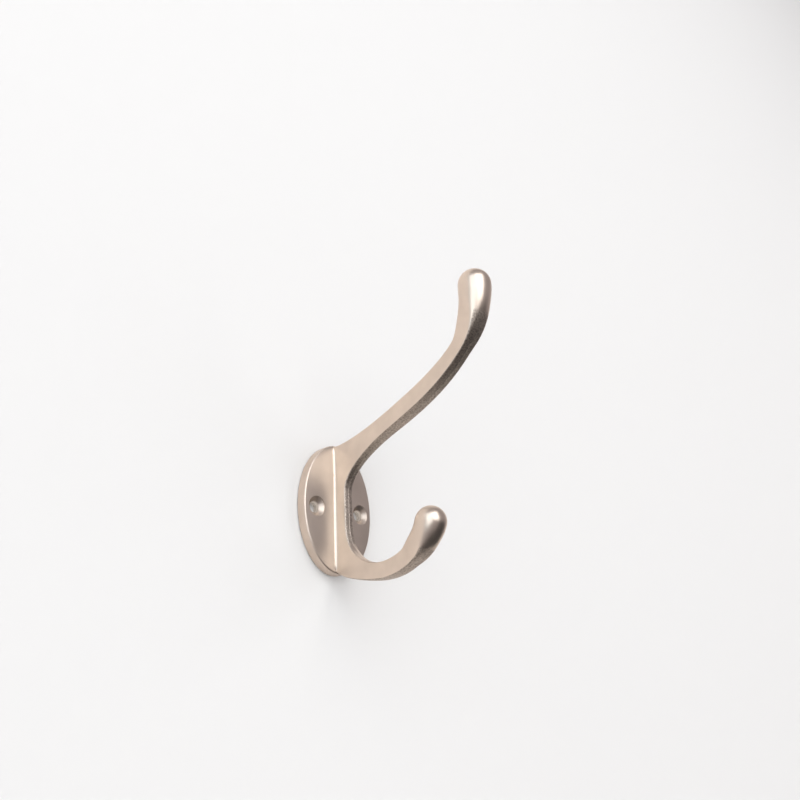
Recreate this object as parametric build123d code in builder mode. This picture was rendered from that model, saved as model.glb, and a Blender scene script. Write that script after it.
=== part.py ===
from build123d import *
import math
import os

os.makedirs("parts", exist_ok=True)

# Hat-and-coat hook, millimetres, +Z up, +Y into the wall, origin at the plate centre on its back face.

# back plate: upright oval, flat back on the wall
plate_width = 33.5
plate_height = 50.0
plate_thickness = 4.2
plate_edge_radius = 0.9
wall_hole_spacing = 22.0
wall_hole_drop = 0.8
wall_hole_diameter = 4.4
wall_sink_diameter = 7.3

# hook arm: flat cast bar with a round knob on each prong
upper_reach = 83.7
upper_rise = 71.0
lower_reach = 55.8
lower_drop = 30.6
bar_thickness = 5.6
web_thickness = 4.0
taper_reach = 46.0
bar_edge_radius = 0.6
web_reach = 9.7
foot_fillet = 1.1
foot_margin = 0.7
upper_knob_diameter = 12.0
lower_knob_diameter = 11.2

# countersunk M2.5 x 8 machine screws from behind
screw_diameter = 2.5
screw_head_diameter = 4.7
screw_length = 8.0
screw_spacing = 31.0
screw_recess = 0.3
screw_clearance = 0.4
socket_size = 1.5
socket_depth = 1.1

sink_angle = 90
foot_half = plate_height / 2 - foot_margin
hole_depth = screw_recess + screw_length + 0.7
knob_steps = 5

# side view of the arm: first axis out of the wall, second axis up
side_plane = Plane(origin=(0, 0, 0), x_dir=(0, -1, 0), z_dir=(-1, 0, 0))


def smooth(t):
    """Ease from 0 to 1."""
    t = min(max(t, 0), 1)
    return t * t * (3 - 2 * t)


def upper(out, up):
    """Point on the upper prong as shares of its reach and rise."""
    return (out * upper_reach, up * upper_rise)


def lower(out, down):
    """Point on the lower prong as shares of its reach and drop."""
    return (out * lower_reach, -down * lower_drop)


def heading(degrees):
    """Direction in the side view, measured up from straight out."""
    return (math.cos(math.radians(degrees)), math.sin(math.radians(degrees)))


def across(point, degrees, offset):
    """Point set off square to a heading."""
    run, climb = heading(degrees)
    return (point[0] - climb * offset, point[1] + run * offset)


def knob_section(plane, width, height, roundness):
    """Section across a prong: the bar's rounded rectangle, easing into a circle as roundness goes to 1."""
    a, b, r = width / 2, height / 2, bar_edge_radius
    half_corner = r * (1 - math.sqrt(0.5))
    flat = ((a, b - r), (a - half_corner, b - half_corner), (a - r, b))
    oval = [(a * math.cos(math.radians(turn)), b * math.sin(math.radians(turn))) for turn in (22.5, 45, 67.5)]
    low, middle, high = [
        (p[0] + (q[0] - p[0]) * roundness, p[1] + (q[1] - p[1]) * roundness) for p, q in zip(flat, oval)
    ]
    edges = []
    with BuildLine(plane, mode=Mode.PRIVATE):
        for x, y in ((1, 1), (-1, 1), (-1, -1), (1, -1)):
            corner = [(x * point[0], y * point[1]) for point in (low, middle, high)]
            edges.append(ThreePointArc(*corner, mode=Mode.PRIVATE))
        for s in (1, -1):
            flank = ((s * low[0], low[1]), (s * a, 0), (s * low[0], -low[1]))
            level = ((high[0], s * high[1]), (0, s * b), (-high[0], s * high[1]))
            for start, bulge, end in (flank, level):
                if roundness == 0:
                    edges.append(Line(start, end, mode=Mode.PRIVATE))
                else:
                    edges.append(ThreePointArc(start, bulge, end, mode=Mode.PRIVATE))
    return Face(Wire(edges))


# necks, where the flat bar starts to swell into a knob: centre, heading, bar depth
upper_neck = upper(0.826, 0.614)
upper_neck_angle = 42
upper_neck_depth = 5.8
lower_neck = lower(0.703, 0.834)
lower_neck_angle = 24
lower_neck_depth = 6.3

# middle of the bend between each neck and its knob
upper_bend = upper(0.896, 0.732)
lower_bend = lower(0.812, 0.700)

# knob centres
upper_knob = (upper_reach - upper_knob_diameter / 2, upper_rise - upper_knob_diameter / 2)
lower_knob = (lower_reach - lower_knob_diameter / 2, -0.490 * lower_drop)

# ---------------------------------------------------------------- back plate
with BuildPart() as back_plate:
    with BuildSketch(Plane.XZ):
        Ellipse(plate_width / 2, plate_height / 2)
    extrude(amount=plate_thickness)
    fillet(back_plate.edges().group_by(Axis.Y)[0], plate_edge_radius)
    front = Plane(origin=(0, -plate_thickness, 0), x_dir=(1, 0, 0), z_dir=(0, -1, 0))
    with Locations(front):
        with Locations((-wall_hole_spacing / 2, -wall_hole_drop), (wall_hole_spacing / 2, -wall_hole_drop)):
            CounterSinkHole(wall_hole_diameter / 2, wall_sink_diameter / 2, counter_sink_angle=sink_angle)
    back = Plane(origin=(0, -screw_recess, 0), x_dir=(-1, 0, 0), z_dir=(0, 1, 0))
    with Locations(back):
        with Locations((0, screw_spacing / 2), (0, -screw_spacing / 2)):
            CounterSinkHole((screw_diameter + screw_clearance) / 2, screw_head_diameter / 2 + 0.05,
                            counter_sink_angle=sink_angle)
            Cylinder(screw_head_diameter / 2 + 0.05, screw_recess,
                     align=(Align.CENTER, Align.CENTER, Align.MIN), mode=Mode.SUBTRACT)

back_plate.part.label = "back_plate"

# ---------------------------------------------------------------- hook arm
with BuildPart() as hook_arm:
    # flat bar: web and both prongs up to their necks
    with BuildSketch(side_plane):
        with BuildLine():
            top = Spline(
                (plate_thickness, foot_half),
                upper(0.226, 0.367),
                upper(0.470, 0.448),
                upper(0.668, 0.542),
                across(upper_neck, upper_neck_angle, upper_neck_depth / 2),
                tangents=[(1, 0), heading(upper_neck_angle)],
            )
            under = Spline(
                across(upper_neck, upper_neck_angle, -upper_neck_depth / 2),
                upper(0.728, 0.477),
                upper(0.470, 0.346),
                upper(0.228, 0.231),
                (web_reach, 0.070 * upper_rise),
                tangents=[heading(upper_neck_angle + 180), (0, -1)],
            )
            inner = Spline(
                (web_reach, -0.240 * lower_drop),
                lower(0.219, 0.549),
                lower(0.330, 0.733),
                lower(0.494, 0.810),
                across(lower_neck, lower_neck_angle, lower_neck_depth / 2),
                tangents=[(0, -1), heading(lower_neck_angle)],
            )
            bottom = Spline(
                across(lower_neck, lower_neck_angle, -lower_neck_depth / 2),
                lower(0.551, 1.000),
                lower(0.305, 0.954),
                (plate_thickness, -foot_half),
                tangents=[heading(lower_neck_angle + 180), heading(142)],
            )
            Line(top @ 1, under @ 0)
            Line(under @ 1, inner @ 0)
            Line(inner @ 1, bottom @ 0)
            Line(bottom @ 1, top @ 0)
        make_face()
    extrude(amount=bar_thickness / 2, both=True)
    # plan view: the bar thins towards the web
    with BuildSketch(Plane.XY):
        with BuildLine():
            for x in (1, -1):
                Spline((x * web_thickness / 2, -plate_thickness), (x * bar_thickness / 2, -taper_reach),
                       tangents=[(0, -1), (0, -1)])
                Line((x * bar_thickness / 2, -taper_reach), (x * bar_thickness / 2, -upper_reach))
            Line((-web_thickness / 2, -plate_thickness), (web_thickness / 2, -plate_thickness))
            Line((-bar_thickness / 2, -upper_reach), (bar_thickness / 2, -upper_reach))
        make_face()
    extrude(amount=upper_rise, both=True, mode=Mode.INTERSECT)
    rims = [
        e for e in hook_arm.edges()
        if abs(e.center().X) > web_thickness / 4
        and abs(e.center().Y + plate_thickness) > 0.01
        and abs(e.center().Y + taper_reach) > 0.01
        and e.length > 1.2 * lower_neck_depth
    ]
    fillet(rims, bar_edge_radius)
    # small concave fillet where the web stands on the plate
    with BuildSketch(Plane.XY.offset(-foot_half + bar_edge_radius)):
        with BuildLine():
            foot_y = -plate_thickness
            half = web_thickness / 2
            Line((-half - foot_fillet, foot_y), (half + foot_fillet, foot_y))
            RadiusArc((half + foot_fillet, foot_y), (half, foot_y - foot_fillet), foot_fillet)
            Line((half, foot_y - foot_fillet), (-half, foot_y - foot_fillet))
            RadiusArc((-half, foot_y - foot_fillet), (-half - foot_fillet, foot_y), foot_fillet)
        make_face()
    extrude(amount=2 * (foot_half - bar_edge_radius))
    # knobs: rounded sections that swell from the bar to a ball
    for neck, angle, depth, bend, knob, knob_angle, diameter in (
        (upper_neck, upper_neck_angle, upper_neck_depth, upper_bend, upper_knob, 88, upper_knob_diameter),
        (lower_neck, lower_neck_angle, lower_neck_depth, lower_bend, lower_knob, 68, lower_knob_diameter),
    ):
        with BuildLine(side_plane, mode=Mode.PRIVATE):
            path = Spline(neck, bend, knob, tangents=[heading(angle), heading(knob_angle)])
        sections = []
        for step in range(knob_steps + 1):
            share = step / knob_steps
            swell = smooth(share**0.8)
            width = bar_thickness + (diameter - bar_thickness) * swell
            height = depth + (diameter - depth) * swell
            cut = Plane(origin=path @ share, x_dir=(1, 0, 0), z_dir=path % share)
            sections.append(knob_section(cut, width, height, smooth(share / 0.8)))
        loft(sections)
        with BuildSketch(Plane(origin=path @ 1, x_dir=(1, 0, 0), z_dir=Vector(1, 0, 0).cross(path % 1))):
            Circle(diameter / 2)
            Rectangle(diameter, diameter, align=(Align.MIN, Align.MIN), mode=Mode.INTERSECT)
        revolve(axis=Axis(path @ 1, path % 1))
    # tapped holes for the screws from behind
    with Locations(Plane(origin=(0, 0, 0), x_dir=(-1, 0, 0), z_dir=(0, 1, 0))):
        with Locations((0, screw_spacing / 2), (0, -screw_spacing / 2)):
            Cylinder(screw_diameter / 2, hole_depth, align=(Align.CENTER, Align.CENTER, Align.MAX),
                     mode=Mode.SUBTRACT)

hook_arm.part.label = "hook_arm"


def machine_screw(height):
    """Countersunk machine screw lying along Y, head flush behind the plate, tip out from the wall."""
    with BuildPart() as screw:
        with BuildSketch(Plane(origin=(0, 0, height), x_dir=(0, -1, 0), z_dir=(-1, 0, 0))):
            with BuildLine():
                cone = (screw_head_diameter - screw_diameter) / 2
                Polyline(
                    (screw_recess, 0),
                    (screw_recess, screw_head_diameter / 2),
                    (screw_recess + cone, screw_diameter / 2),
                    (screw_recess + screw_length, screw_diameter / 2),
                    (screw_recess + screw_length, 0),
                    close=True,
                )
            make_face()
        revolve(axis=Axis((0, 0, height), (0, 1, 0)))
        with BuildSketch(Plane(origin=(0, -screw_recess, height), x_dir=(1, 0, 0), z_dir=(0, -1, 0))):
            RegularPolygon(socket_size / math.sqrt(3), 6)
        extrude(amount=socket_depth, mode=Mode.SUBTRACT)
        chamfer(screw.edges().sort_by(Axis.Y)[0], 0.4)
    return screw


arm_screw_upper = machine_screw(screw_spacing / 2)
arm_screw_lower = machine_screw(-screw_spacing / 2)
arm_screw_upper.part.label = "arm_screw_upper"
arm_screw_lower.part.label = "arm_screw_lower"

export_step(back_plate.part, "parts/back_plate.step")
export_step(hook_arm.part, "parts/hook_arm.step")
export_step(arm_screw_upper.part, "parts/arm_screw_upper.step")
export_step(arm_screw_lower.part, "parts/arm_screw_lower.step")
for piece in (back_plate, hook_arm, arm_screw_upper, arm_screw_lower):
    box = piece.part.bounding_box()
    print(piece.part.label, len(piece.part.solids()), round(piece.part.volume, 1), box.min, box.max)
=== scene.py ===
import math

import bmesh
import bpy
from mathutils import Matrix, Vector
from mathutils.geometry import interpolate_bezier


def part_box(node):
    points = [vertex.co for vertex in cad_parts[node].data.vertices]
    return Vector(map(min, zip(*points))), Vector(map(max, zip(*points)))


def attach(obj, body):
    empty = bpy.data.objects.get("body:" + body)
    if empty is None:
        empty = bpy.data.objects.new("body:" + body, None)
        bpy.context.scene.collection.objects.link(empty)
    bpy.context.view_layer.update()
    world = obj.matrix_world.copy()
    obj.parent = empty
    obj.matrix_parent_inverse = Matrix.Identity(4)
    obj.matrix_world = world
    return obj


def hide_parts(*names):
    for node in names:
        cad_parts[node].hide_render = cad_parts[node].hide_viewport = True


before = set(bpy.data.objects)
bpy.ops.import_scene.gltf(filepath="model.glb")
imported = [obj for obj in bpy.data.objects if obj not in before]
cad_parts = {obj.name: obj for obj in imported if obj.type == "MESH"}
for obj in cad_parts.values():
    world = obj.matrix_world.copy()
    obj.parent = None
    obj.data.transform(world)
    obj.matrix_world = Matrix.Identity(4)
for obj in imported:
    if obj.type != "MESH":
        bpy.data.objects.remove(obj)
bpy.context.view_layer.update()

mm = 0.001
relaxSweeps = 60  # passes that even out a line's headings
carveCrease = 32  # degrees; a sharper edge is shaded as an edge
armLow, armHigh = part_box("hook_arm")
plateLow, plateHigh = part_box("back_plate")
scene = bpy.context.scene

# measures below are in millimetres; a side point is (out of the wall, up)


def sidePoint(out, up, across=0.0):
    return Vector((across, -out, up))


def heading(degrees):
    return sidePoint(math.cos(math.radians(degrees)), math.sin(math.radians(degrees)))


def squareTo(way):  # a quarter turn from a heading, on its upper side
    return sidePoint(-way.z, -way.y)


def smoothStep(t):
    t = min(max(t, 0.0), 1.0)
    return t * t * (3 - 2 * t)


def smoothLine(points, startWay, endWay, steps=40):  # bends evenly through every point
    spans = [(b - a).length for a, b in zip(points, points[1:])]
    ways = [startWay] + [(c - a).normalized() for a, c in zip(points, points[2:])] + [endWay]
    for _ in range(relaxSweeps):
        for i in range(1, len(points) - 1):
            before, after = spans[i - 1], spans[i]
            arriving, leaving = points[i] - points[i - 1], points[i + 1] - points[i]
            pull = 3 * (arriving * after / before + leaving * before / after)
            ways[i] = (pull - ways[i - 1] * after - ways[i + 1] * before) / (2 * (before + after))
    line = [points[0]]
    for i, span in enumerate(spans):
        start, end = points[i], points[i + 1]
        startHandle, endHandle = start + ways[i] * span / 3, end - ways[i + 1] * span / 3
        line += interpolate_bezier(start, startHandle, endHandle, end, steps + 1)[1:]
    return line


def spread(line, count):  # the same line with its points an even distance apart
    walked = [0.0]
    for a, b in zip(line, line[1:]):
        walked.append(walked[-1] + (b - a).length)
    picked, at = [], 0
    for i in range(count + 1):
        goal = walked[-1] * i / count
        while at < len(line) - 2 and walked[at + 1] < goal:
            at += 1
        picked.append(line[at].lerp(line[at + 1], (goal - walked[at]) / (walked[at + 1] - walked[at])))
    return picked


def nearest(line, point):
    return min(range(len(line)), key=lambda i: (line[i] - point).length)


def meshPiece(bm, name, creaseAngle=carveCrease):  # millimetres in the bmesh become metres in the piece
    bmesh.ops.scale(bm, vec=(mm, mm, mm), verts=bm.verts)
    mesh = bpy.data.meshes.new(name)
    bm.to_mesh(mesh)
    bm.free()
    piece = bpy.data.objects.new(name, mesh)
    scene.collection.objects.link(piece)
    mesh.shade_smooth()
    mesh.set_sharp_from_angle(angle=math.radians(creaseAngle))
    return piece


def carve(piece, cutters):
    for cutter in cutters:
        cut = piece.modifiers.new("cut", "BOOLEAN")
        cut.operation = "DIFFERENCE"
        cut.solver = "EXACT"
        cut.object = cutter
    evaluated = piece.evaluated_get(bpy.context.evaluated_depsgraph_get())
    carved = bpy.data.meshes.new_from_object(evaluated)
    old = piece.data
    piece.modifiers.clear()
    piece.data = carved
    carved.name = old.name
    bpy.data.meshes.remove(old)
    for cutter in cutters:
        bpy.data.objects.remove(cutter)
    carved.shade_smooth()
    carved.set_sharp_from_angle(angle=math.radians(carveCrease))


def ringEdges(ring):
    return [next(e for e in vert.link_edges if e.other_vert(vert) is ring[i - 1])
            for i, vert in enumerate(ring)]


def skin(rings, firstPole, lastPole, name, creaseAngle=carveCrease):
    # a closed hose through rings of points, shut by a pole at each end
    bm = bmesh.new()
    ring = bmesh.ops.create_circle(bm, cap_ends=False, segments=len(rings[0]), radius=1.0)["verts"]
    for vert, point in zip(ring, rings[0]):
        vert.co = point
    firstRing = list(ring)
    for points in rings[1:]:
        made = bmesh.ops.extrude_edge_only(bm, edges=ringEdges(ring))["geom"]
        fresh = {v for v in made if isinstance(v, bmesh.types.BMVert)}
        ring = [next(e.other_vert(v) for e in v.link_edges if e.other_vert(v) in fresh) for v in ring]
        for vert, point in zip(ring, points):
            vert.co = point
    for endRing, pole in ((firstRing, firstPole), (ring, lastPole)):
        made = bmesh.ops.extrude_edge_only(bm, edges=ringEdges(endRing))["geom"]
        bmesh.ops.pointmerge(bm, verts=[v for v in made if isinstance(v, bmesh.types.BMVert)], merge_co=pole)
    bmesh.ops.recalc_face_normals(bm, faces=bm.faces)
    return meshPiece(bm, name, creaseAngle)


def turned(profile, name, at, steps):  # a profile of (radius, along +Y) spun round an axis along Y
    bm = bmesh.new()
    verts = [bm.verts.new((radius, along, 0)) for radius, along in profile]
    edges = [bm.edges.new(pair) for pair in zip(verts, verts[1:])]
    bmesh.ops.spin(bm, geom=verts + edges, cent=(0, 0, 0), axis=(0, 1, 0), dvec=(0, 0, 0),
                   angle=math.tau, steps=steps, use_merge=True)
    bmesh.ops.remove_doubles(bm, verts=bm.verts, dist=1e-4)
    bmesh.ops.recalc_face_normals(bm, faces=bm.faces)
    bmesh.ops.translate(bm, vec=at, verts=bm.verts)
    return meshPiece(bm, name)


def newMaterial(name):
    material = bpy.data.materials.new(name)
    material.use_nodes = True
    material.node_tree.nodes.clear()
    return material, material.node_tree.nodes, material.node_tree.links


def put(nodes, kind, **settings):
    node = nodes.new(kind)
    for key, value in settings.items():
        setattr(node, key, value)
    return node


def ranged(nodes, links, source, fromRange, toRange=(0.0, 1.0), smooth=False):
    node = put(nodes, "ShaderNodeMapRange", interpolation_type="SMOOTHSTEP" if smooth else "LINEAR")
    node.inputs["From Min"].default_value, node.inputs["From Max"].default_value = fromRange
    node.inputs["To Min"].default_value, node.inputs["To Max"].default_value = toRange
    links.new(source, node.inputs["Value"])
    return node.outputs["Result"]


def noise(nodes, links, place, scale, detail, roughness=0.5):
    node = put(nodes, "ShaderNodeTexNoise", noise_dimensions="3D")
    node.inputs["Scale"].default_value = scale
    node.inputs["Detail"].default_value = detail
    node.inputs["Roughness"].default_value = roughness
    links.new(place.outputs["Object"], node.inputs["Vector"])
    return node.outputs["Fac"]


def blended(nodes, links, share, first, second):  # first and second are colours or sockets
    node = put(nodes, "ShaderNodeMix", data_type="RGBA")
    links.new(share, node.inputs["Factor"])
    for value, key in ((first, "A"), (second, "B")):
        if isinstance(value, tuple):
            node.inputs[key].default_value = value
        else:
            links.new(value, node.inputs[key])
    return node.outputs["Result"]


def shaded(nodes, links, colour, shade):  # a colour made lighter and darker by a share round 1
    node = put(nodes, "ShaderNodeMix", data_type="RGBA", blend_type="MULTIPLY")
    node.inputs["Factor"].default_value = 1.0
    node.inputs["A"].default_value = colour
    links.new(shade, node.inputs["B"])
    return node.outputs["Result"]


def bumped(nodes, links, height, distance, strength, under=None):  # strength is a number or a socket
    node = put(nodes, "ShaderNodeBump")
    node.inputs["Distance"].default_value = distance
    if isinstance(strength, float):
        node.inputs["Strength"].default_value = strength
    else:
        links.new(strength, node.inputs["Strength"])
    links.new(height, node.inputs["Height"])
    if under:
        links.new(under, node.inputs["Normal"])
    return node.outputs["Normal"]


armLook = {
    "smoothColour": (0.665, 0.586, 0.515, 1),  # ground flanks and knobs
    "castAndShadeColour": (0.43, 0.382, 0.338, 1),  # faces left as they came from the mould, and painted shade on the arm's downward faces
    "smoothRoughness": 0.26,
    "castRoughness": 0.40,
    "grainScale": 1500,  # cast grain, about 0.6 mm
    "polishScale": 900,
    "waveScale": 160,  # slow waviness of a hand-ground face
    "speckShade": (0.58, 1.42),  # darkest and lightest specks of the cast skin
    "mottleShade": (0.95, 1.05),  # faint patches of the ground faces
    "roughnessSpread": 0.12,
    "wornColour": (0.74, 0.67, 0.60, 1),  # corners rubbed a little brighter
    "wornShare": 0.35,
    "castRelief": 0.00012,
    "polishRelief": 0.00002,
    "waveRelief": 0.00006,
}
plateLook = {
    **armLook,
    "smoothColour": (0.655, 0.582, 0.52, 1),
    "castAndShadeColour": (0.48, 0.43, 0.385, 1),
    "smoothRoughness": 0.35,
    "castRoughness": 0.46,
    "grainScale": 1700,
    "polishScale": 800,
    "waveScale": 130,
}


def satinNickel(name, look):
    material, nodes, links = newMaterial(name)
    out = put(nodes, "ShaderNodeOutputMaterial")
    metal = put(nodes, "ShaderNodeBsdfPrincipled")
    metal.inputs["Metallic"].default_value = 1.0
    place = put(nodes, "ShaderNodeTexCoord")
    links.new(metal.outputs[0], out.inputs[0])
    grain = noise(nodes, links, place, look["grainScale"], 3.0, 0.6)
    polish = noise(nodes, links, place, look["polishScale"], 4.0)
    wave = noise(nodes, links, place, look["waveScale"], 2.0)

    ground = put(nodes, "ShaderNodeAttribute", attribute_name="ground")  # 1 where the face was ground smooth, and on the arm where it faces up; the rest gets the darker cast colour, which paints shade on the arm's downward faces
    edgeNoise = put(nodes, "ShaderNodeMath", operation="MULTIPLY_ADD")  # ragged border of the two finishes
    edgeNoise.inputs[1].default_value = 0.5
    edgeNoise.inputs[2].default_value = -0.25
    links.new(polish, edgeNoise.inputs[0])
    ragged = put(nodes, "ShaderNodeMath", operation="ADD")
    links.new(ground.outputs["Fac"], ragged.inputs[0])
    links.new(edgeNoise.outputs[0], ragged.inputs[1])
    groundAndLitShare = ranged(nodes, links, ragged.outputs[0], (0.35, 0.65), smooth=True)

    speck = ranged(nodes, links, grain, (0.3, 0.7), look["speckShade"])
    mottle = ranged(nodes, links, wave, (0.3, 0.7), look["mottleShade"])
    # the darker cast tone is the cast skin's colour and also painted shade on the arm's downward faces
    castAndShadeTone = shaded(nodes, links, look["castAndShadeColour"], speck)
    smoothTone = shaded(nodes, links, look["smoothColour"], mottle)
    tone = blended(nodes, links, groundAndLitShare, castAndShadeTone, smoothTone)
    shape = put(nodes, "ShaderNodeNewGeometry")
    rubbed = (0.0, look["wornShare"])
    worn = ranged(nodes, links, shape.outputs["Pointiness"], (0.53, 0.62), rubbed, smooth=True)
    links.new(blended(nodes, links, worn, tone, look["wornColour"]), metal.inputs["Base Color"])

    gloss = ranged(nodes, links, groundAndLitShare, (0.0, 1.0), (look["castRoughness"], look["smoothRoughness"]))
    uneven = put(nodes, "ShaderNodeMath", operation="MULTIPLY_ADD")
    uneven.inputs[1].default_value = look["roughnessSpread"]
    links.new(polish, uneven.inputs[0])
    links.new(gloss, uneven.inputs[2])
    links.new(uneven.outputs[0], metal.inputs["Roughness"])

    unground = put(nodes, "ShaderNodeMath", operation="SUBTRACT")
    unground.inputs[0].default_value = 1.0
    links.new(groundAndLitShare, unground.inputs[1])
    castBump = bumped(nodes, links, grain, look["castRelief"], unground.outputs[0])
    fineBump = bumped(nodes, links, polish, look["polishRelief"], 0.6, castBump)
    links.new(bumped(nodes, links, wave, look["waveRelief"], 1.0, fineBump), metal.inputs["Normal"])
    return material


screwLook = {
    "bright": (0.66, 0.67, 0.68, 1),
    "dull": (0.52, 0.51, 0.47, 1),  # faint yellow cast of the zinc
    "worn": (0.8, 0.8, 0.8, 1),  # zinc rubbed thin on the corners
    "wornShare": 0.5,
    "roughness": 0.20,
    "roughnessSpread": 0.2,
    "cloudScale": 700,
    "scratchScale": 3500,
    "scratchRelief": 0.00002,
}


def zincSteel(name, look):
    material, nodes, links = newMaterial(name)
    out = put(nodes, "ShaderNodeOutputMaterial")
    metal = put(nodes, "ShaderNodeBsdfPrincipled")
    metal.inputs["Metallic"].default_value = 1.0
    links.new(metal.outputs[0], out.inputs[0])
    place = put(nodes, "ShaderNodeTexCoord")
    cloud = noise(nodes, links, place, look["cloudScale"], 4.0)
    scratch = noise(nodes, links, place, look["scratchScale"], 3.0)
    patchy = ranged(nodes, links, cloud, (0.35, 0.65), smooth=True)
    tone = blended(nodes, links, patchy, look["dull"], look["bright"])
    shape = put(nodes, "ShaderNodeNewGeometry")
    rubbed = (0.0, look["wornShare"])
    worn = ranged(nodes, links, shape.outputs["Pointiness"], (0.52, 0.6), rubbed, smooth=True)
    links.new(blended(nodes, links, worn, tone, look["worn"]), metal.inputs["Base Color"])
    uneven = put(nodes, "ShaderNodeMath", operation="MULTIPLY_ADD")
    uneven.inputs[1].default_value = look["roughnessSpread"]
    uneven.inputs[2].default_value = look["roughness"]
    links.new(cloud, uneven.inputs[0])
    links.new(uneven.outputs[0], metal.inputs["Roughness"])
    links.new(bumped(nodes, links, scratch, look["scratchRelief"], 0.7), metal.inputs["Normal"])
    return material


armNickel = satinNickel("armNickel", armLook)
plateNickel = satinNickel("plateNickel", plateLook)
zinc = zincSteel("zincSteel", screwLook)


plateShape = {
    "halfWidth": plateHigh.x / mm,
    "halfHeight": plateHigh.z / mm,
    "thickness": (plateHigh.y - plateLow.y) / mm,
    "rimRounding": 0.6,
    "backRounding": 0.25,
    "crownSteps": 8,
    "crownInset": 1.1,
    "crownRise": 0.075,
    "holeSpacing": 22.0,
    "holeDrop": 0.8,
    "boreRadius": 2.2,
    "sinkRadius": 3.65,
    "lipRounding": 0.5,
    "screwBoreRadius": 1.45,
    "screwSinkRadius": 2.4,
    "screwRecess": 0.3,
}
armShape = {
    "footOut": plateHigh.y / mm - plateLow.y / mm - 0.05,  # the foot sinks this little into the plate
    "footHalf": 24.3,
    "barThickness": 5.6,
    "webThickness": 3.9,
    "taperOut": 46.0,
    "topRounding": 0.6,
    "underRounding": 0.42,
    "footFlare": 1.1,
    "cornerLeft": 0.04,
    "underCrown": 0.3,
    "seamHeight": 0.11,  # mould seam along the middle of the inner edge
    "seamHalf": 0.17,
    "topEdge": [(18.92, 26.06), (39.34, 31.81), (55.91, 38.48)],
    "underEdge": [(60.93, 33.87), (39.34, 24.57), (19.08, 16.40)],
    "webOut": 9.7,
    "webTop": 4.97,
    "webBottom": -7.34,
    "lowerInside": [(12.22, -16.80), (18.41, -22.43), (27.57, -24.79)],
    "lowerOutside": [(30.75, -30.60), (17.02, -29.19)],
    "heelHeading": 142,
    "upperThroat": (16.5, 14.3),
    "lowerThroat": (15.0, -19.8),
}
upperKnob = {
    "neck": (69.14, 43.59), "neckHeading": 42, "neckDepth": 5.8, "bend": (75.0, 51.97),
    "ball": (-armLow.y / mm - 6.0, armHigh.z / mm - 6.0), "ballHeading": 88, "diameter": 12.0, "side": 1,
}
lowerKnob = {
    "neck": (39.23, -25.52), "neckHeading": 24, "neckDepth": 6.3, "bend": (45.31, -21.42),
    "ball": (50.2, -14.99), "ballHeading": 68, "diameter": 11.2, "side": -1,
}
cornerSteps = 4


def neckEnds(knob):  # where the bar's outer and inner edges meet the neck
    offset = squareTo(heading(knob["neckHeading"])) * knob["neckDepth"] / 2 * knob["side"]
    middle = sidePoint(*knob["neck"])
    return middle + offset, middle - offset


def thicknessAt(out):  # the bar is thin at the web and thickens along the prongs
    foot = armShape["footOut"]
    share = smoothStep((out - foot) / (armShape["taperOut"] - foot))
    return armShape["webThickness"] + (armShape["barThickness"] - armShape["webThickness"]) * share


def knobStations(knob, count=18, domeCount=10):  # from the bar's neck out to the end of the knob
    path = spread(smoothLine([sidePoint(*knob["neck"]), sidePoint(*knob["bend"]), sidePoint(*knob["ball"])],
                             heading(knob["neckHeading"]), heading(knob["ballHeading"])), count)
    stations = []
    for i, point in enumerate(path):
        share = i / count
        if i == 0:
            way = heading(knob["neckHeading"])
        elif i == count:
            way = heading(knob["ballHeading"])
        else:
            way = (path[i + 1] - path[i - 1]).normalized()
        swell = smoothStep(share ** 0.8)
        half = (knob["neckDepth"] + (knob["diameter"] - knob["neckDepth"]) * swell) / 2
        width = thicknessAt(-point.y) + (knob["diameter"] - thicknessAt(-point.y)) * swell
        offset = squareTo(way) * half * knob["side"]
        stations.append({"outer": point + offset, "inner": point - offset, "width": width,
                         "round": smoothStep(share / 0.8), "foot": 1.0})
    end, way, radius = path[-1], heading(knob["ballHeading"]), knob["diameter"] / 2
    for i in range(1, domeCount):
        lean = math.pi / 2 * i / domeCount
        offset = squareTo(way) * radius * math.cos(lean) * knob["side"]
        middle = end + way * radius * math.sin(lean)
        stations.append({"outer": middle + offset, "inner": middle - offset,
                         "width": 2 * radius * math.cos(lean), "round": 1.0, "foot": 1.0})
    return stations, end + way * radius


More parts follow.
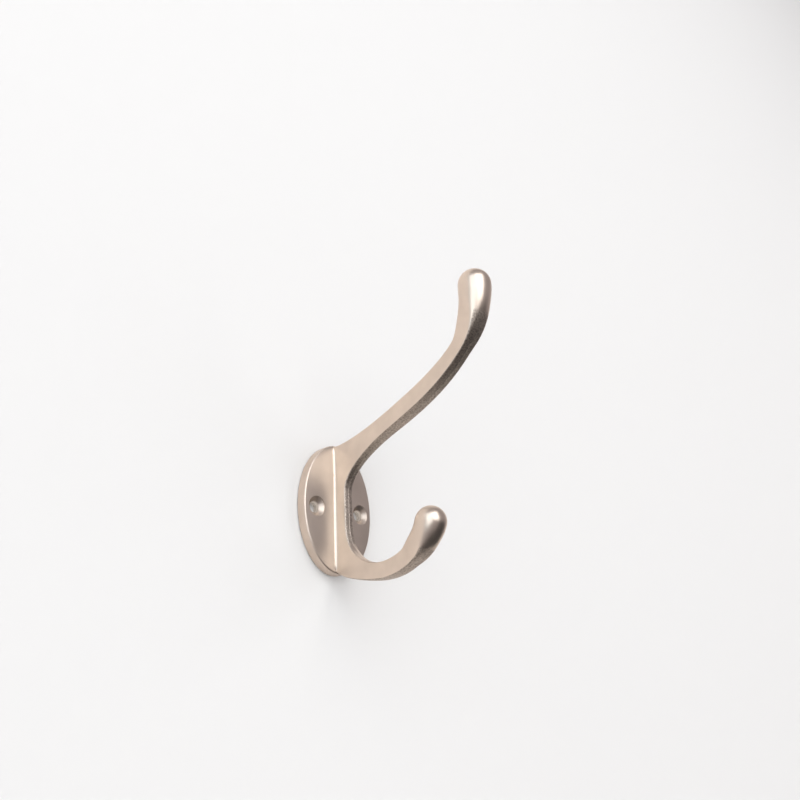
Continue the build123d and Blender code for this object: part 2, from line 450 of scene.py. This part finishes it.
def halfSection(station):
    # points (down from the outer edge, sideways) round one side of the bar, outer middle to inner middle
    depth = (station["inner"] - station["outer"]).length
    tapered = station["width"] is None
    half = thicknessAt(-station["outer"].y) / 2 if tapered else station["width"] / 2
    growth = (thicknessAt(-station["inner"].y) / 2 - half) / depth if tapered else 0.0
    foot = station["foot"]
    corner = armShape["topRounding"] if foot > 0 else armShape["footFlare"]
    top = corner * foot
    under, topRounding = armShape["underRounding"], armShape["topRounding"]
    under = under + (topRounding - under) * station["round"]
    quarter = [math.pi / 2 * i / cornerSteps for i in range(cornerSteps + 1)]
    flat = [(0, 0), (0, (half - top) * 0.5), (0, (half - top) * 0.94)]
    flat += [(abs(top) * (1 - math.cos(q)), half - top + top * math.sin(q)) for q in quarter]
    start, stop = abs(top), depth - under
    flat += [(start + (stop - start) * share, half) for share in (0.03, 0.2, 0.4, 0.6, 0.8, 0.97)]
    crownFrom = len(flat)  # from here on the points lie on the inner edge, which swells a little
    flat += [(depth - under * (1 - math.cos(q)), half - under + under * math.sin(q))
             for q in reversed(quarter)]
    flat += [(depth, (half - under) * 0.94), (depth, (half - under) * 0.5), (depth, armShape["seamHalf"])]
    crown = armShape["underCrown"]
    flat[crownFrom:] = [(down + crown * (1 - (aside / half) ** 2), aside) for down, aside in flat[crownFrom:]]
    flat.append((flat[-1][0] + armShape["seamHeight"], 0))
    flat = [(down, aside * (1 + growth * down / half)) for down, aside in flat]
    ringed = []
    for i, (down, aside) in enumerate(flat):
        turn = math.pi * i / (len(flat) - 1)
        ovalDown, ovalAside = depth / 2 * (1 - math.cos(turn)), half * math.sin(turn)
        share = station["round"]
        ringed.append((down + (ovalDown - down) * share, aside + (ovalAside - aside) * share))
    return ringed


def ringPoints(station):
    half = halfSection(station)
    down = (station["inner"] - station["outer"]).normalized()
    across = Vector((1, 0, 0))
    right = [station["outer"] + down * s + across * x for s, x in half]
    left = [station["outer"] + down * s - across * x for s, x in reversed(half[1:-1])]
    return right + left


def barStations(outerLine, innerLine, count, footShare):
    outer, inner = spread(outerLine, count), spread(innerLine, count)
    return [{"outer": outer[i], "inner": inner[i], "width": None, "round": 0.0, "foot": footShare(i / count)}
            for i in range(count + 1)]


def crownAt(up):  # how far the plate's front swells at its middle line
    steps = (plateShape["halfHeight"] - abs(up) - plateShape["rimRounding"]) / plateShape["crownInset"]
    return sum(plateShape["crownRise"] * (1 - k / plateShape["crownSteps"]) * min(max(steps - k, 0.0), 1.0)
               for k in range(plateShape["crownSteps"]))


def sidePoints(key):
    return [sidePoint(*point) for point in armShape[key]]


def buildArm():
    shape = armShape
    foot, footHalf = shape["footOut"], shape["footHalf"]
    back, down = sidePoint(-1, 0), sidePoint(0, -1)
    upperOuter, upperInner = neckEnds(upperKnob)
    lowerOuter, lowerInner = neckEnds(lowerKnob)
    upperWay, lowerWay = heading(upperKnob["neckHeading"]), heading(lowerKnob["neckHeading"])
    webTop, webBottom = (sidePoint(shape["webOut"], shape[key]) for key in ("webTop", "webBottom"))
    footTop, footBottom = sidePoint(foot, footHalf), sidePoint(foot, -footHalf)
    top = smoothLine([upperOuter] + sidePoints("topEdge")[::-1] + [footTop], -upperWay, back)
    under = smoothLine([upperInner] + sidePoints("underEdge") + [webTop], -upperWay, down)
    web = smoothLine([webTop, webBottom], down, down)
    inside = smoothLine([webBottom] + sidePoints("lowerInside") + [lowerInner], down, lowerWay)
    bottom = smoothLine([footBottom] + sidePoints("lowerOutside")[::-1] + [lowerOuter],
                        -heading(shape["heelHeading"]), lowerWay)
    front = under + web[1:] + inside[1:]
    throatUp = nearest(front, sidePoint(*shape["upperThroat"]))
    throatDown = nearest(front, sidePoint(*shape["lowerThroat"]))
    heights = [footHalf * i / 20 for i in range(20, -21, -1)]
    footLine = [sidePoint(foot + crownAt(height), height) for height in heights]

    upperEnd, upperPole = knobStations(upperKnob)
    lowerEnd, lowerPole = knobStations(lowerKnob)
    stations = list(reversed(upperEnd))
    cornerLeft = shape["cornerLeft"]  # roundings shrink to this share where the bar meets the foot
    stations += barStations(top, front[:throatUp + 1], 60,
                            lambda share: max(cornerLeft, min(1.0, (1 - share) * 30)))[1:]
    stations += barStations(footLine, front[throatUp:throatDown + 1], 56,
                            lambda share: -max(cornerLeft, min(1.0, share * 30, (1 - share) * 30)))[1:-1]
    stations += barStations(bottom, front[throatDown:], 34,
                            lambda share: max(cornerLeft, min(1.0, share * 20)))
    stations += lowerEnd[1:]

    return skin([ringPoints(station) for station in stations], upperPole, lowerPole, "hookArm")


hookArm = buildArm()
print("arm skinned", len(hookArm.data.polygons), "faces")

screwPlan = {
    "spacing": 31.0, "recess": 0.3, "length": 8.0,
    "boreRadius": 1.25, "boreStart": 3.0, "boreDeep": 6.0, "borePoint": 6.6,
    "headRadius": 2.35, "headRounding": 0.08, "threadRadius": 1.25, "rootRadius": 0.98, "pitch": 0.45,
    "tipChamfer": 0.4, "socketHalf": 0.75, "socketDepth": 1.1, "socketPoint": 0.3, "socketChamfer": 0.1,
    "grooveHalf": 0.42, "segments": 48, "rowsPerTurn": 8,
}
radius, deep = screwPlan["boreRadius"], screwPlan["boreDeep"]
boreProfile = [(0, 0), (radius, 0), (radius, -deep), (0, -screwPlan["borePoint"])]
bores = [turned(boreProfile, "bore", (0, -screwPlan["boreStart"], height), steps=32)
         for height in (screwPlan["spacing"] / 2, -screwPlan["spacing"] / 2)]
carve(hookArm, bores)


def markGround(piece, share):  # stores where a face was ground smooth: flat flanks and polished knobs, and on the arm the upward faces, so that the downward faces get painted shade
    attribute = piece.data.attributes.new("ground", "FLOAT", "POINT")
    normals = [v.normal.copy() for v in piece.data.vertices]
    for i, vert in enumerate(piece.data.vertices):
        attribute.data[i].value = share(vert.co / mm, normals[i])


upperBall, lowerBall = sidePoint(*upperKnob["ball"]), sidePoint(*lowerKnob["ball"])


def armGroundAndLitTop(point, normal):
    flank = smoothStep((abs(normal.x) - 0.72) / 0.2)
    nearUpper = smoothStep((17.0 - (point - upperBall).length) / 9.0)
    nearLower = smoothStep((13.0 - (point - lowerBall).length) / 7.0)
    # faces turned up get the lighter colour and faces turned down the darker cast colour: painted shade on
    # the arm's undersides
    paintedLightTop = smoothStep((max(normal.z, normal.y) - 0.2) / 0.4)
    fillet = smoothStep((armShape["footOut"] + 1.9 + point.y) / 0.4)
    fillet *= 0.6 + 0.4 * smoothStep((-8 - point.z) / 12)  # smoothest at the foot's lower end
    return max(flank, nearUpper, nearLower, paintedLightTop, fillet)


markGround(hookArm, armGroundAndLitTop)
hookArm.data.materials.append(armNickel)
weighted = hookArm.modifiers.new("evenShading", "WEIGHTED_NORMAL")
weighted.keep_sharp = True
weighted.weight = 60
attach(hookArm, "root")
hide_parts("hook_arm")
print("arm finished")




def buildPlate():
    shape = plateShape
    bm = bmesh.new()
    bmesh.ops.create_circle(bm, cap_ends=True, segments=192, radius=shape["halfHeight"])
    bmesh.ops.rotate(bm, cent=(0, 0, 0), matrix=Matrix.Rotation(math.radians(90), 3, "X"), verts=bm.verts)
    bmesh.ops.scale(bm, vec=(shape["halfWidth"] / shape["halfHeight"], 1, 1), verts=bm.verts)
    back = bm.faces[:]
    grown = bmesh.ops.extrude_face_region(bm, geom=back)["geom"]
    frontVerts = [v for v in grown if isinstance(v, bmesh.types.BMVert)]
    bmesh.ops.translate(bm, vec=(0, -shape["thickness"], 0), verts=frontVerts)
    front = next(f for f in grown if isinstance(f, bmesh.types.BMFace))
    bmesh.ops.bevel(bm, geom=front.edges[:], offset=shape["rimRounding"], offset_type="OFFSET", segments=5,
                    profile=0.5, affect="EDGES", material=-1)
    front = max(bm.faces, key=lambda f: (-f.calc_center_median().y, f.calc_area()))
    for step in range(shape["crownSteps"]):  # the front swells a little towards its middle
        rise = shape["crownRise"] * (1 - step / shape["crownSteps"])
        bmesh.ops.inset_region(bm, faces=[front], thickness=shape["crownInset"], depth=0,
                               use_even_offset=False)
        bmesh.ops.translate(bm, vec=(0, -rise, 0), verts=front.verts)
    backRim = [e for e in bm.edges if all(abs(v.co.y) < 1e-5 for v in e.verts)]
    bmesh.ops.bevel(bm, geom=backRim, offset=shape["backRounding"], offset_type="OFFSET", segments=2,
                    profile=0.5, affect="EDGES", material=-1)
    bmesh.ops.recalc_face_normals(bm, faces=bm.faces)
    return meshPiece(bm, "backPlate")


backPlate = buildPlate()
cutters = []
lip, sink, bore = plateShape["lipRounding"], plateShape["sinkRadius"], plateShape["boreRadius"]
lipStart = sink + lip * math.tan(math.radians(22.5))
lipTurns = [math.radians(9 * i) for i in range(6)]
lipArc = [(lipStart - lip * math.sin(a), lip * (1 - math.cos(a))) for a in lipTurns]
front = -plateShape["thickness"]
for side in (-1, 1):
    profile = [(0, -1.0), (lipStart, -1.0)] + lipArc
    profile += [(bore, lipArc[-1][1] + lipArc[-1][0] - bore), (bore, 6.0), (0, 6.0)]
    middle = (side * plateShape["holeSpacing"] / 2, front, -plateShape["holeDrop"])
    cutters.append(turned(profile, "countersink", middle, steps=72))
sinkRadius, boreRadius = plateShape["screwSinkRadius"], plateShape["screwBoreRadius"]
recess = plateShape["screwRecess"]
for height in (screwPlan["spacing"] / 2, -screwPlan["spacing"] / 2):
    profile = [(0, 1.0), (sinkRadius, 1.0), (sinkRadius, -recess),
               (boreRadius, -recess - (sinkRadius - boreRadius)), (boreRadius, -6.0), (0, -6.0)]
    cutters.append(turned(profile, "screwSink", (0, 0, height), steps=48))
carve(backPlate, cutters)
markGround(backPlate, lambda point, normal: 1.0 if point.y < -0.1 else 0.0)
backPlate.data.materials.append(plateNickel)
weighted = backPlate.modifiers.new("evenShading", "WEIGHTED_NORMAL")
weighted.keep_sharp = True
weighted.weight = 60
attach(backPlate, "root")
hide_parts("back_plate")
print("plate finished", len(backPlate.data.polygons), "faces")


def screwRings():
    # rings, pole in the socket and pole at the tip, with the head's flat at y = 0 and the tip towards -Y
    plan = screwPlan
    turns = [math.tau * i / plan["segments"] for i in range(plan["segments"])]

    def level(along, reach):
        return [Vector((math.cos(a) * reach(a), along, math.sin(a) * reach(a))) for a in turns]

    def hexagon(half):
        return lambda a: half / math.cos((a + math.pi / 6) % (math.pi / 3) - math.pi / 6)

    def thread(along, depth):
        def reach(a):
            share = (along / plan["pitch"] + a / math.tau) % 1.0
            return plan["threadRadius"] - depth * max(0.0, 1.0 - abs(share - 0.5) / plan["grooveHalf"])
        return reach

    half, head, shank = plan["socketHalf"], plan["headRadius"], plan["threadRadius"]
    cone, rounding = head - shank, plan["headRounding"]
    corner = half / math.cos(math.pi / 6)
    rings = [
        level(-plan["socketDepth"], hexagon(half * 0.96)),
        level(-plan["socketDepth"] + 0.03, hexagon(half)),
        level(-0.55, hexagon(half)),
        level(-plan["socketChamfer"], hexagon(half)),
        level(0, lambda a: corner + 0.03),
        level(0, lambda a: corner + 0.5),
        level(0, lambda a: head - rounding * 1.6),
        level(-rounding * 0.3, lambda a: head - rounding * 0.7),
        level(-rounding, lambda a: head - rounding * 0.6),
        level(-cone * 0.5, lambda a: head - cone * 0.5),
        level(-cone, lambda a: shank),
    ]
    start, stop = -cone - 0.12, -plan["length"] + plan["tipChamfer"]
    rows = round((start - stop) / plan["pitch"] * plan["rowsPerTurn"])
    for i in range(rows + 1):
        along = start + (stop - start) * i / rows
        depth = (plan["threadRadius"] - plan["rootRadius"]) * min(1.0, 0.15 + i / plan["rowsPerTurn"])
        rings.append(level(along, thread(along, depth)))
    rings.append(level(-plan["length"], lambda a: plan["threadRadius"] - plan["tipChamfer"]))
    return rings, Vector((0, -plan["socketDepth"] - plan["socketPoint"], 0)), Vector((0, -plan["length"], 0))


screwCrease = 24
screwNames = (("arm_screw_upper", "screwUpper", 1), ("arm_screw_lower", "screwLower", -1))
for nodeName, pieceName, side in screwNames:
    rings, socketPole, tipPole = screwRings()
    offset = Vector((0, -screwPlan["recess"], side * screwPlan["spacing"] / 2))
    placed = [[point + offset for point in ring] for ring in rings]
    screw = skin(placed, socketPole + offset, tipPole + offset, pieceName, screwCrease)
    screw.data.materials.append(zinc)
    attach(screw, "root")
    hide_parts(nodeName)
print("screws finished")


stagePlan = {
    "wallGap": 0.0003, "wallHalf": 3.0, "wallTop": 2.4, "floorDrop": -0.62, "floorDepth": 3.0,
    "openingShare": (0.93, 0.95),  # of the plate's width and height
}


def flatPanel(name, corners, opening=None):  # corners in metres, wound so that the panel faces the room
    bm = bmesh.new()
    loops = [[bm.verts.new(Vector(c) / mm) for c in corners]]
    if opening:
        loops.append([bm.verts.new(Vector(c) / mm) for c in opening])
    edges = [bm.edges.new((loop[i - 1], loop[i])) for loop in loops for i in range(len(loop))]
    bmesh.ops.triangle_fill(bm, edges=edges, use_beauty=True)
    facing = (Vector(corners[1]) - Vector(corners[0])).cross(Vector(corners[2]) - Vector(corners[1]))
    for face in bm.faces:
        face.normal_update()
        if face.normal.dot(facing) < 0:
            face.normal_flip()
    return meshPiece(bm, name)


half, gap, wallTop = stagePlan["wallHalf"], stagePlan["wallGap"], stagePlan["wallTop"]
floorDrop, floorFront = stagePlan["floorDrop"], -stagePlan["floorDepth"]
openWide, openHigh = plateHigh.x * stagePlan["openingShare"][0], plateHigh.z * stagePlan["openingShare"][1]
turns = [math.tau * i / 64 for i in range(64)]
behind = [(openWide * math.cos(a), gap, openHigh * math.sin(a)) for a in turns]
wall = flatPanel("wall", [(-half, gap, floorDrop), (half, gap, floorDrop), (half, gap, wallTop),
                          (-half, gap, wallTop)], behind)
# this closes the opening for the eye only, so that light still reaches the plate's back
wallPatch = flatPanel("wallPatch", behind)
wallPatch.visible_diffuse = wallPatch.visible_glossy = wallPatch.visible_shadow = False
floor = flatPanel("floor", [(-half, gap, floorDrop), (-half, floorFront, floorDrop),
                            (half, floorFront, floorDrop), (half, gap, floorDrop)])


def wallPaint():
    material, nodes, links = newMaterial("wallPaint")
    out = put(nodes, "ShaderNodeOutputMaterial")
    paint = put(nodes, "ShaderNodeBsdfPrincipled")
    paint.inputs["Roughness"].default_value = 0.8
    paint.inputs["Specular IOR Level"].default_value = 0.1
    ray = put(nodes, "ShaderNodeLightPath")
    tint = put(nodes, "ShaderNodeMix", data_type="RGBA")  # a little warmer where the metal mirrors it
    tint.inputs["A"].default_value = (0.775, 0.79, 0.797, 1)
    tint.inputs["B"].default_value = (0.82, 0.765, 0.72, 1)
    links.new(ray.outputs["Is Glossy Ray"], tint.inputs["Factor"])
    links.new(tint.outputs["Result"], paint.inputs["Base Color"])
    clear = put(nodes, "ShaderNodeBsdfTransparent")
    mix = put(nodes, "ShaderNodeMixShader")
    side = put(nodes, "ShaderNodeNewGeometry")
    links.new(side.outputs["Backfacing"], mix.inputs[0])
    links.new(paint.outputs[0], mix.inputs[1])
    links.new(clear.outputs[0], mix.inputs[2])
    links.new(mix.outputs[0], out.inputs[0])
    return material


def floorPaint():
    material, nodes, links = newMaterial("floorPaint")
    out = put(nodes, "ShaderNodeOutputMaterial")
    paint = put(nodes, "ShaderNodeBsdfPrincipled")
    paint.inputs["Base Color"].default_value = (0.62, 0.60, 0.58, 1)
    paint.inputs["Roughness"].default_value = 0.7
    links.new(paint.outputs[0], out.inputs[0])
    return material


paint = wallPaint()
wall.data.materials.append(paint)
wallPatch.data.materials.append(paint)
floor.data.materials.append(floorPaint())
floor.visible_glossy = False  # the metal mirrors the room's darker side instead

lights = [
    {"name": "window", "turn": -12, "rise": 27, "away": 1.7, "size": (1.3, 1.7),
     "power": 16.5, "tint": (1.0, 0.99, 0.97)},
    {"name": "side", "turn": -58, "rise": 14, "away": 1.7, "size": (1.3, 2.4),
     "power": 13, "tint": (0.95, 0.98, 1.0)},
    {"name": "fill", "turn": 58, "rise": 6, "away": 1.9, "size": (1.8, 1.6),
     "power": 13, "tint": (1.0, 0.99, 0.98)},
]


def roomWay(turn, rise):  # from the hook into the room: degrees to the right of straight out, degrees up
    turn, rise = math.radians(turn), math.radians(rise)
    return Vector((math.sin(turn) * math.cos(rise), -math.cos(turn) * math.cos(rise), math.sin(rise)))


target = Vector((0, -0.04, 0.02))
for plan in lights:
    way = roomWay(plan["turn"], plan["rise"])
    lamp = bpy.data.lights.new(plan["name"], "AREA")
    lamp.shape = "RECTANGLE"
    lamp.size, lamp.size_y = plan["size"]
    lamp.energy = plan["power"]
    lamp.color = plan["tint"]
    stand = bpy.data.objects.new(plan["name"], lamp)
    stand.visible_glossy = plan["name"] != "fill"  # the fill only evens out the wall
    stand.location = target + way * plan["away"]
    stand.rotation_mode = "QUATERNION"
    stand.rotation_quaternion = (-way).to_track_quat("-Z", "Y")
    scene.collection.objects.link(stand)

world = bpy.data.worlds.new("room")
scene.world = world
world.use_nodes = True
world.node_tree.nodes.clear()
nodes, links = world.node_tree.nodes, world.node_tree.links
out = put(nodes, "ShaderNodeOutputWorld")
seen = put(nodes, "ShaderNodeBackground")
seen.inputs["Color"].default_value = (0.86, 0.86, 0.86, 1)
felt = put(nodes, "ShaderNodeBackground")
way = put(nodes, "ShaderNodeTexCoord")
roomPatches = [  # what the metal mirrors: where it is (turn, rise), how wide, and its colour
    {"turn": -78, "rise": 12, "inside": 28, "outside": 50, "colour": (0.62, 0.64, 0.66, 1)},
    {"turn": 100, "rise": 15, "inside": 15, "outside": 35, "colour": (0.52, 0.455, 0.45, 1)},
    {"turn": 98, "rise": -50, "inside": 18, "outside": 40, "colour": (0.10, 0.09, 0.088, 1)},
    {"turn": 45, "rise": -32, "inside": 20, "outside": 46, "colour": (0.075, 0.07, 0.07, 1)},
    {"turn": 30, "rise": -80, "inside": 28, "outside": 52, "colour": (0.07, 0.065, 0.065, 1)},
    {"turn": 180, "rise": 0, "inside": 55, "outside": 85, "colour": (0.85, 0.83, 0.80, 1)},
]
last = (0.40, 0.355, 0.355, 1)
for patch in roomPatches:
    toward = put(nodes, "ShaderNodeVectorMath", operation="DOT_PRODUCT")
    toward.inputs[1].default_value = roomWay(patch["turn"], patch["rise"])
    links.new(way.outputs["Generated"], toward.inputs[0])
    edge = [math.cos(math.radians(patch[key])) for key in ("outside", "inside")]
    fade = ranged(nodes, links, toward.outputs["Value"], edge, smooth=True)
    last = blended(nodes, links, fade, last, patch["colour"])
links.new(last, felt.inputs["Color"])
which = put(nodes, "ShaderNodeLightPath")
mix = put(nodes, "ShaderNodeMixShader")
links.new(which.outputs["Is Camera Ray"], mix.inputs[0])
links.new(felt.outputs[0], mix.inputs[1])
links.new(seen.outputs[0], mix.inputs[2])
links.new(mix.outputs[0], out.inputs[0])
scene.view_settings.view_transform = "Standard"

cameraPlan = {
    "turn": 47.03, "tilt": 22.53, "roll": -2.92, "away": 0.3293, "aside": 0.02625, "above": 0.04243,
    "lens": 38.76,
}
turn, tilt, roll = (math.radians(cameraPlan[k]) for k in ("turn", "tilt", "roll"))
right = Vector((math.cos(turn), -math.sin(turn), 0))
back = Vector((-math.sin(turn) * math.cos(tilt), -math.cos(turn) * math.cos(tilt), -math.sin(tilt)))
up = back.cross(right)
rolledRight = right * math.cos(roll) + up * math.sin(roll)
rolledUp = up * math.cos(roll) - right * math.sin(roll)
place = rolledRight * cameraPlan["aside"] + rolledUp * cameraPlan["above"] + back * cameraPlan["away"]
camera = bpy.data.objects.new("camera", bpy.data.cameras.new("camera"))
camera.data.lens = cameraPlan["lens"]
camera.data.sensor_width = 36
camera.data.clip_start = 0.01
camera.matrix_world = Matrix((rolledRight, rolledUp, back)).transposed().to_4x4()
camera.location = place
scene.collection.objects.link(camera)
scene.camera = camera

print("scene ready")
